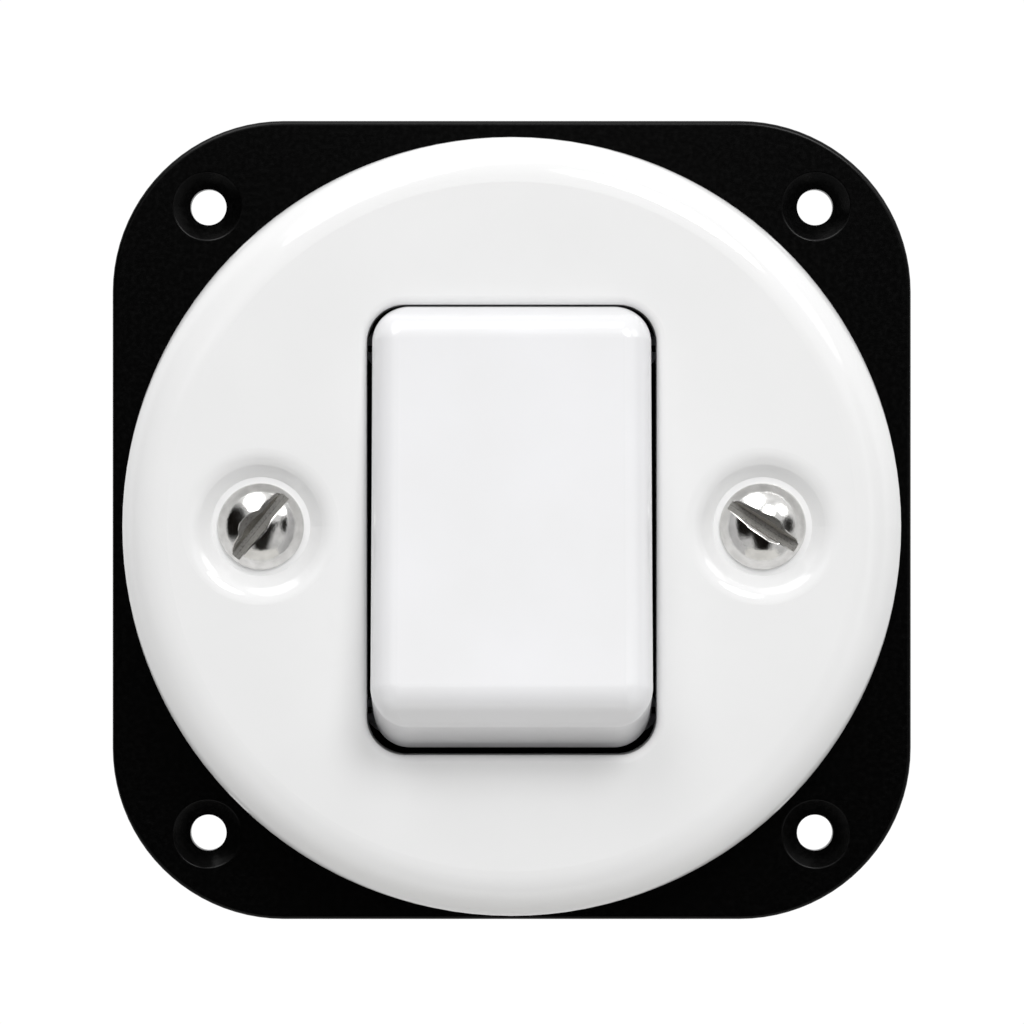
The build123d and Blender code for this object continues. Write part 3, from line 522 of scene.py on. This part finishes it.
def saw_slot(bm, half_width, floor):
    """Opens a slot along Y in the top of a turned head, and returns the edges of its two lips."""
    cuts = (
        ((half_width, 0, 0), (1, 0, 0)),
        ((-half_width, 0, 0), (1, 0, 0)),
        ((0, 0, floor), (0, 0, 1)),
    )
    for point, normal in cuts:
        bmesh.ops.bisect_plane(
            bm,
            geom=bm.verts[:] + bm.edges[:] + bm.faces[:],
            dist=CUT_TOUCH,
            plane_co=point,
            plane_no=normal,
        )
    strip = []
    for face in bm.faces:
        middle = face.calc_center_median()
        if abs(middle.x) < half_width and middle.z > floor:
            strip.append(face)
    bmesh.ops.delete(bm, geom=strip, context="FACES")
    open_edges = [e for e in bm.edges if e.is_boundary and abs(e.verts[0].co.x - e.verts[1].co.x) < TOUCH]
    return [e for e in open_edges if all(v.co.z > floor - TOUCH for v in e.verts)]


def let_down(bm, row):
    """Extrudes a row of edges, and returns the new vertices, the new row and the new faces."""
    made = bmesh.ops.extrude_edge_only(bm, edges=row)["geom"]
    verts = {g for g in made if isinstance(g, bmesh.types.BMVert)}
    faces = [g for g in made if isinstance(g, bmesh.types.BMFace)]
    new_row = [e for e in bm.edges if all(v in verts for v in e.verts)]
    return verts, new_row, faces


print("cuts closer than", CUT_TOUCH, "mm to a point go through it")

# %% [markdown]
# Every piece ends the same way. It is shaded smooth except across sharp edges, and its mesh becomes an
# object that rides on a body of the switch and stands in for the plain solid.

# %% Helpers to finish a piece


def shade_by_angle(bm, degrees):
    """Shades smooth, with a crease where two faces meet at more than this angle."""
    for face in bm.faces:
        face.smooth = True
    for edge in bm.edges:
        edge.smooth = len(edge.link_faces) == 2 and edge.calc_face_angle(0) < math.radians(degrees)


def finish_piece(bm, name, slot, body, replaced):
    """Makes the mesh an object in metres that rides on a body in place of its solid."""
    mesh = bpy.data.meshes.new(name)
    bm.to_mesh(mesh)
    bm.free()
    piece = bpy.data.objects.new(name, mesh)
    bpy.context.scene.collection.objects.link(piece)
    mesh.materials.append(finishes[slot])
    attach(piece, body)
    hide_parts(replaced)
    print(name, "faces", len(mesh.polygons))
    return piece


print("finishes ready", sorted(finishes))

# %% [markdown]
# A round head is a slice of a sphere. Its radius follows from the head's width and rise, and so does the
# height of the dome over any place on its foot. The shank is turned with rings in place of a true thread,
# which nothing shows.

# %% Turn the screws
HEAD_RADIUS = 4.45
HEAD_HEIGHT = 2.8
HEAD_EDGE = 0.25
SHANK_RADIUS = 1.95
THREAD_DEPTH = 0.35
THREAD_PITCH = 0.7
DOME_STEPS = 40
TURN_STEPS = 144

dome_rise = HEAD_HEIGHT - HEAD_EDGE
dome_radius = (HEAD_RADIUS**2 + dome_rise**2) / (2 * dome_rise)
dome_centre = HEAD_HEIGHT - dome_radius
dome_angle = math.asin(HEAD_RADIUS / dome_radius)


def dome_height(x, y):
    """The height of the head's dome over a place on its foot."""
    return dome_centre + math.sqrt(dome_radius**2 - x**2 - y**2)


def turned_screw(shank):
    """A round head on a ringed shank, made about Z with the foot of its head at 0."""
    bm = bmesh.new()
    bm.faces.layers.float.new("sawn")
    bm.verts.layers.float.new("across")
    crown = bm.verts.new((0, 0, HEAD_HEIGHT))
    arc = bmesh.ops.spin(
        bm,
        geom=[crown],
        cent=(0, 0, dome_centre),
        axis=(0, 1, 0),
        angle=dome_angle,
        steps=DOME_STEPS,
    )["geom_last"]
    rim = [v for v in arc if isinstance(v, bmesh.types.BMVert)][0]
    outline = [(HEAD_RADIUS, 0), (SHANK_RADIUS, 0), (SHANK_RADIUS, -THREAD_PITCH)]
    turns = int((shank - 2 * THREAD_PITCH) / THREAD_PITCH)
    for ring in range(turns):
        top = -THREAD_PITCH * (ring + 1)
        outline.append((SHANK_RADIUS - THREAD_DEPTH, top - THREAD_PITCH / 2))
        outline.append((SHANK_RADIUS, top - THREAD_PITCH))
    outline += [(SHANK_RADIUS - THREAD_DEPTH, -shank), (0, -shank)]
    longer(bm, rim, outline)
    turn_round(bm, TURN_STEPS)
    return bm


print("dome radius", round(dome_radius, 3), "mm")

# %% [markdown]
# Screwdrivers that slipped have broken the slot's lips. A worn lip is a line on the dome, given as places
# along the slot and how far out the lip stands there. The vertices near the slot are drawn out to that
# line and set back on the sphere, a thin bright burr is left at the lip, and a chipped ledge falls from
# it to the slot's side.

# %% Saw and wear a slot
SLOT_HALF = 0.48
SLOT_FLOOR = 0.8
SLOT_END_TAPER = 0.35
WEAR_SPREAD = 1.9
BURR_WIDTH = 0.1
BURR_FALL = 0.035
LEDGE_SHARE = 0.4
LEDGE_FALL = 0.55

slot_end = math.sqrt(dome_radius**2 - (SLOT_FLOOR - dome_centre) ** 2 - SLOT_HALF**2)


def lip_at(worn, along):
    """How far out a worn lip stands at a place along the slot. It closes on the slot at both ends."""
    reach = worn[0][1]
    for (start, first), (end, last) in zip(worn, worn[1:]):
        if along > start:
            reach = first + (last - first) * min(1, (along - start) / (end - start))
    taper = min(1, max(0, (slot_end - abs(along)) / SLOT_END_TAPER))
    return SLOT_HALF + (reach - SLOT_HALF) * taper


def wear_slot(bm, worn_lips):
    """Saws the slot, draws its lips out to the worn lines, and marks what the saw and the chips left."""
    sawn = bm.faces.layers.float["sawn"]
    across = bm.verts.layers.float["across"]
    lips = saw_slot(bm, SLOT_HALF, SLOT_FLOOR)
    on_dome = [v for v in bm.verts if v.co.z > SLOT_FLOOR - TOUCH]
    burrs, row, burr_faces = let_down(bm, lips)
    ledges, row, ledge_faces = let_down(bm, row)
    feet, row, side_faces = let_down(bm, row)
    for vert in bm.verts:
        vert[across] = vert.co.x * MM
    for vert in on_dome + list(burrs | ledges | feet):
        x, y = vert.co.xy
        side = math.copysign(1, x)
        lip = lip_at(worn_lips[side], y)
        if vert in feet:
            vert.co.z = SLOT_FLOOR
            continue
        if vert in burrs:
            inwards = min(BURR_WIDTH, lip - SLOT_HALF)
            fall = inwards * BURR_FALL / BURR_WIDTH
        elif vert in ledges:
            inwards = (1 - LEDGE_SHARE) * (lip - SLOT_HALF)
            fall = inwards * LEDGE_FALL
        else:
            inwards = fall = 0
            lip = abs(x) + (lip - SLOT_HALF) * max(0, 1 - (abs(x) - SLOT_HALF) / WEAR_SPREAD)
        vert.co = (side * (lip - inwards), y, dome_height(lip, y) - fall)
    bmesh.ops.remove_doubles(bm, verts=bm.verts, dist=TOUCH)
    # The ledge faces' mark is what the finish paints darker, as painted shade in the slot.
    for faces, mark in ((burr_faces, RAISED), (ledge_faces, CHIPPED_AND_SHADED), (side_faces, SAWN)):
        for face in faces:
            if face.is_valid:
                face[sawn] = mark
    in_order(bm)
    open_edges = [e for e in bm.edges if e.is_boundary]
    for face in bmesh.ops.holes_fill(bm, edges=open_edges, sides=0)["faces"]:
        face[sawn] = SAWN
    bmesh.ops.recalc_face_normals(bm, faces=bm.faces)


print("slot runs to", round(slot_end, 2), "mm from the axis")

# %% [markdown]
# The left screw stands with its slot rising to the right, the right one with its slot falling, and their
# chips differ. Each is made about Z, turned to its slot's angle, and laid in its dimple by the box of the
# solid it replaces.

# %% Cover screws
HEAD_CREASE = 18


def cover_screw(name, turn, worn_lips):
    """A worn screw, laid in its dimple in place of the plain one."""
    low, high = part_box(name)
    head = dome_height(SLOT_HALF, 0)
    bm = turned_screw((high.y - low.y) / MM - head)
    wear_slot(bm, worn_lips)
    print(name, "open edges", sum(e.is_boundary for e in bm.edges))
    bmesh.ops.rotate(bm, verts=bm.verts, matrix=Matrix.Rotation(math.radians(turn), 3, "Z"))
    bmesh.ops.rotate(bm, verts=bm.verts, matrix=Matrix.Rotation(math.radians(90), 3, "X"))
    bmesh.ops.scale(bm, verts=bm.verts, vec=(MM, MM, MM))
    seat = Vector(((low.x + high.x) / 2, low.y + head * MM, (low.z + high.z) / 2))
    bmesh.ops.translate(bm, verts=bm.verts, vec=seat)
    shade_by_angle(bm, HEAD_CREASE)
    return finish_piece(bm, name + "_worn", "nickel", "housing", name)


LEFT_SLOT = 51.0
LEFT_UPPER_LIP = (
    (-4.2, 0.6), (-3.0, 1.03), (-2.0, 1.15), (-1.7, 1.5), (-1.45, 1.66), (-1.0, 1.85),
    (-0.4, 1.84), (0.2, 1.7), (0.7, 1.52), (1.1, 1.25), (1.3, 1.14), (2.4, 1.16),
    (3.2, 1.1), (3.8, 0.95), (4.1, 0.6),
)
LEFT_LOWER_LIP = (
    (-4.2, 0.5), (-3.0, 0.62), (-2.2, 0.64), (-1.6, 0.74), (-0.6, 0.86), (0.2, 0.84),
    (0.8, 0.72), (1.3, 0.6), (3.6, 0.55), (4.1, 0.5),
)
RIGHT_SLOT = -33.0
RIGHT_UPPER_LIP = (
    (-4.05, 0.54), (-3.75, 0.75), (-3.46, 0.93), (-2.4, 1.03), (-1.6, 1.12), (-1.5, 1.17),
    (-0.76, 1.16), (-0.43, 1.26), (0.16, 1.38), (0.69, 1.41), (1.2, 1.33), (1.6, 1.16),
    (2.0, 0.97), (2.5, 0.9), (3.5, 0.87), (4.04, 0.6),
)
RIGHT_LOWER_LIP = (
    (-4.05, 0.5), (-3.4, 0.6), (-2.4, 0.74), (-1.5, 0.88), (-1.35, 0.96), (-0.4, 1.0),
    (0.6, 1.04), (1.2, 1.07), (1.6, 0.98), (2.1, 0.84), (2.3, 0.62), (3.4, 0.6),
    (4.05, 0.5),
)
cover_screw("cover_screw_left", LEFT_SLOT - 90, {-1: LEFT_UPPER_LIP, 1: LEFT_LOWER_LIP})
cover_screw("cover_screw_right", RIGHT_SLOT - 90, {-1: RIGHT_UPPER_LIP, 1: RIGHT_LOWER_LIP})

# %% [markdown]
# The plunger pushes its spring shorter, which a fixed solid can't show. The spring is wound again here. A
# small disc of wire is spun about the barrel's axis while it moves along it, which leaves a coil. The last
# line gives the coil a mesh of its own.

# %% Plunger spring
SPRING_WIRE = 0.5
SPRING_RADIUS = 1.65
SPRING_PITCH = 1.1
SPRING_LENGTH = 3.8
SPRING_SEAT = 2.7
WIRE_SIDES = 10
WIRE_CREASE = 50
STEPS_PER_TURN = 32

joints = {joint["name"]: joint for joint in frame["joints"]}
inwards = Vector(joints["plunger_slide"]["axis"])
seat = Vector(joints["rocker_tilt"]["pos_m"]) - SPRING_SEAT * MM * inwards
climb = SPRING_LENGTH - SPRING_WIRE
steps = round(STEPS_PER_TURN * climb / SPRING_PITCH)
bm = bmesh.new()
bmesh.ops.create_circle(bm, cap_ends=True, segments=WIRE_SIDES, radius=SPRING_WIRE / 2)
bmesh.ops.rotate(bm, verts=bm.verts, matrix=Matrix.Rotation(math.radians(90), 3, "X"))
bmesh.ops.translate(bm, verts=bm.verts, vec=(SPRING_RADIUS, 0, SPRING_WIRE / 2))
bmesh.ops.spin(
    bm,
    geom=bm.verts[:] + bm.edges[:] + bm.faces[:],
    cent=(0, 0, 0),
    axis=(0, 0, 1),
    dvec=(0, 0, climb / steps),
    angle=math.tau * climb / SPRING_PITCH,
    steps=steps,
)
bmesh.ops.recalc_face_normals(bm, faces=bm.faces)
print("plunger_spring open edges", sum(e.is_boundary for e in bm.edges))
upright = Vector((0, 0, 1))
bmesh.ops.rotate(bm, verts=bm.verts, matrix=upright.rotation_difference(inwards).to_matrix())
bmesh.ops.scale(bm, verts=bm.verts, vec=(MM, MM, MM))
bmesh.ops.translate(bm, verts=bm.verts, vec=seat - SPRING_LENGTH * MM * inwards)
shade_by_angle(bm, WIRE_CREASE)
spring = finish_piece(bm, "plunger_spring_wound", "steel", "rocker", "plunger_spring")
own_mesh(spring)

# %% [markdown]
# The picture is a catalogue shot: the switch floats square to the lens on white. A long lens from half a
# metre keeps the plate's sides nearly parallel.

# %% Camera
LENS_MM = 153.8
SENSOR_MM = 36
NEAREST = 0.01
FARTHEST = 20
CAMERA_PLACE = Vector((0.03, -463.0, 0.84)) * MM

lens = bpy.data.cameras.new("camera")
lens.lens = LENS_MM
lens.sensor_width = SENSOR_MM
lens.clip_start = NEAREST
lens.clip_end = FARTHEST
camera = bpy.data.objects.new("camera", lens)
camera.location = CAMERA_PLACE
camera.rotation_euler = (math.radians(90), 0, 0)
bpy.context.scene.collection.objects.link(camera)
bpy.context.scene.camera = camera
bpy.context.scene.view_settings.view_transform = "Standard"
print("camera", tuple(round(v, 4) for v in camera.location))

# %% [markdown]
# White shapes on white show only by soft shade, so the light is set in parts. What lights the switch
# softly is the pale room in front of it and the bright paper behind it. Each is a row of grey levels from
# below to above, and the room gives way to the paper where the direction turns. A third row is what
# polished pieces mirror.

# %% Soft light
ROOM = ((0.0, 0.38), (0.35, 0.33), (0.5, 0.28), (0.66, 0.28), (0.74, 0.34), (1.0, 0.55))
PAPER = ((0.0, 0.45), (0.35, 0.7), (0.5, 1.3), (1.0, 1.3))
MIRRORED = ((0.0, 0.55), (0.35, 0.7), (0.5, 0.8), (1.0, 1.0))
TURN_BAND = 0.15

world = bpy.data.worlds.new("studio")
world.use_nodes = True
bpy.context.scene.world = world
tree = world.node_tree
tree.nodes.clear()
way = add(tree, "ShaderNodeTexCoord").outputs["Generated"]
axes = add(tree, "ShaderNodeSeparateXYZ", {"Vector": way})
height = add(tree, "ShaderNodeMapRange", {"Value": axes.outputs["Z"], "From Min": -1.0, "From Max": 1.0})
levels = []
for stops in (ROOM, PAPER, MIRRORED):
    row = add(tree, "ShaderNodeValToRGB", {"Fac": height.outputs["Result"]})
    row.color_ramp.elements.remove(row.color_ramp.elements[1])
    for index, (position, level) in enumerate(stops):
        stop = row.color_ramp.elements.new(position) if index else row.color_ramp.elements[0]
        stop.position = position
        stop.color = (level, level, level, 1)
    levels.append(row.outputs["Color"])
behind = add(
    tree,
    "ShaderNodeMapRange",
    {"Value": axes.outputs["Y"], "From Min": -TURN_BAND, "From Max": TURN_BAND},
    interpolation_type="SMOOTHSTEP",
)
soft = add(
    tree,
    "ShaderNodeMix",
    {"Factor": behind.outputs["Result"], 6: levels[0], 7: levels[1]},
    data_type="RGBA",
)
print("soft light levels", len(ROOM), len(PAPER))

# %% [markdown]
# What the polished domes of the screws mirror is the studio itself. In front of the pale cloth is a dark
# gap where the photographer stands. It is as wide as a person, ends at the height of the shoulders and
# narrows downwards. Three soft edges, one for each direction, are multiplied into its shape.

# %% Dark gap in the mirrored studio
GAP_NARROWS = -0.45
GAP_SIDES = (0.7, 0.5)
GAP_TOP = (0.24, 0.12)
GAP_BACK = (0.06, -0.12)

aside = add(tree, "ShaderNodeMath", {0: axes.outputs["X"]}, operation="ABSOLUTE")
shoulder = add(
    tree,
    "ShaderNodeMath",
    {0: axes.outputs["Z"], 1: GAP_NARROWS, 2: aside.outputs[0]},
    operation="MULTIPLY_ADD",
)
gap = 1.0
for socket, (start, end) in (
    (shoulder.outputs[0], GAP_SIDES),
    (axes.outputs["Z"], GAP_TOP),
    (axes.outputs["Y"], GAP_BACK),
):
    step = add(
        tree,
        "ShaderNodeMapRange",
        {"Value": socket, "From Min": start, "From Max": end},
        interpolation_type="SMOOTHSTEP",
    )
    gap = add(tree, "ShaderNodeMath", {0: gap, 1: step.outputs["Result"]}, operation="MULTIPLY").outputs[0]
print("gap edges", GAP_SIDES, GAP_TOP, GAP_BACK)

# %% [markdown]
# Dark panels stand to each side and lamps above. Each is a round spot: a direction, and the angles in
# degrees where it ends and where it is full. A spot's edge is found from the cosine between its direction
# and the ray's.

# %% Panels and lamps in the mirrored studio
DARK_PANELS = (
    ((-0.9, -0.38, 0.14), 44, 22),
    ((-0.62, -0.77, -0.12), 24, 10),
    ((0.88, -0.47, 0.05), 22, 9),
)
LAMPS = (((-0.25, -0.4, 0.88), 24, 12), ((0.68, -0.46, 0.56), 14, 7))

spots = []
for start, rows in ((gap, DARK_PANELS), (0.0, LAMPS)):
    shape = start
    for direction, outer, inner in rows:
        towards = tuple(Vector(direction).normalized())
        near = add(tree, "ShaderNodeVectorMath", {0: way, 1: towards}, operation="DOT_PRODUCT")
        spot = add(
            tree,
            "ShaderNodeMapRange",
            {
                "Value": near.outputs["Value"],
                "From Min": math.cos(math.radians(outer)),
                "From Max": math.cos(math.radians(inner)),
            },
            interpolation_type="SMOOTHSTEP",
        )
        joined = add(tree, "ShaderNodeMath", {0: shape, 1: spot.outputs["Result"]}, operation="MAXIMUM")
        shape = joined.outputs[0]
    spots.append(shape)
print("mirrored panels", len(DARK_PANELS), "lamps", len(LAMPS))

# %% [markdown]
# The parts are joined by the kind of ray that asks. Mirror rays get the studio, the lens gets white
# paper, and every other ray gets the soft light. So the screws can have dark patches while the white
# pieces stay evenly lit.

# %% Join the light
DIM = (0.006, 0.005, 0.004, 1)
BACKDROP = (1.02, 1.02, 1.02, 1)
LAMP_LEVEL = (4.0, 4.0, 4.0, 1)

light = levels[2]
for factor, colour in zip(spots, (DIM, LAMP_LEVEL)):
    light = add(tree, "ShaderNodeMix", {"Factor": factor, 6: light, 7: colour}, data_type="RGBA").outputs[2]
ray = add(tree, "ShaderNodeLightPath")
light = add(
    tree,
    "ShaderNodeMix",
    {"Factor": ray.outputs["Is Glossy Ray"], 6: soft.outputs[2], 7: light},
    data_type="RGBA",
)
light = add(
    tree,
    "ShaderNodeMix",
    {"Factor": ray.outputs["Is Camera Ray"], 6: light.outputs[2], 7: BACKDROP},
    data_type="RGBA",
)
sky = add(tree, "ShaderNodeBackground", {"Color": light.outputs[2], "Strength": 1.0})
add(tree, "ShaderNodeOutputWorld", {"Surface": sky.outputs["Background"]})
print("world nodes", len(tree.nodes))

# %% [markdown]
# Two round lamps stand above the camera, the stronger one to the right. They shade the shoulder and the
# rocker's ends and draw the thin bright lines along the plate's edges. A white cloth behind the camera
# fills the shade under the rocker. It is kept out of mirror rays, so the gloss of the plate and the
# screws still shows the dark gap there.

# %% Lamps and cloth
LIGHTS = {
    "right_lamp": ("DISK", (0.28, -0.75, 0.58), 0.42, 4.0, True),
    "left_lamp": ("DISK", (-0.3, -0.63, 0.71), 0.45, 1.8, True),
    "front_cloth": ("SQUARE", (0.0, -1.0, 0.0), 0.6, 2.35, False),
}

for name, (shape, place, width, watts, mirrored) in LIGHTS.items():
    lamp = bpy.data.lights.new(name, "AREA")
    lamp.shape = shape
    lamp.size = width
    lamp.energy = watts
    stand = bpy.data.objects.new(name, lamp)
    stand.location = place
    stand.rotation_euler = (-Vector(place)).to_track_quat("-Z", "Y").to_euler()
    stand.visible_glossy = mirrored
    stand.visible_camera = False
    bpy.context.scene.collection.objects.link(stand)
    print(name, watts, "W")

# %% [markdown]
# A pale floor lies well below the frame and sends a little light back up. It is stage, not part of the
# switch.

# %% Floor
FLOOR_DROP = -0.9
FLOOR_HALF = 0.6

tree, shader, place = start_finish("stage", "studio_paper")
fibre = add(tree, "ShaderNodeTexNoise", {"Vector": place, "Scale": per_metre(30), "Detail": 3.0})
paper = add(tree, "ShaderNodeValToRGB", {"Fac": fibre.outputs["Fac"]})
paper.color_ramp.elements[0].color = linear("dcdbd8")
paper.color_ramp.elements[1].color = linear("e4e3e0")
tree.links.new(paper.outputs["Color"], shader.inputs["Base Color"])
shader.inputs["Roughness"].default_value = 0.9
bm = bmesh.new()
bmesh.ops.create_grid(bm, x_segments=2, y_segments=2, size=FLOOR_HALF)
bmesh.ops.translate(bm, verts=bm.verts, vec=(0, 0, FLOOR_DROP))
mesh = bpy.data.meshes.new("floor")
bm.to_mesh(mesh)
bm.free()
mesh.materials.append(finishes["stage"])
floor = bpy.data.objects.new("floor", mesh)
bpy.context.scene.collection.objects.link(floor)
print("floor at", FLOOR_DROP)
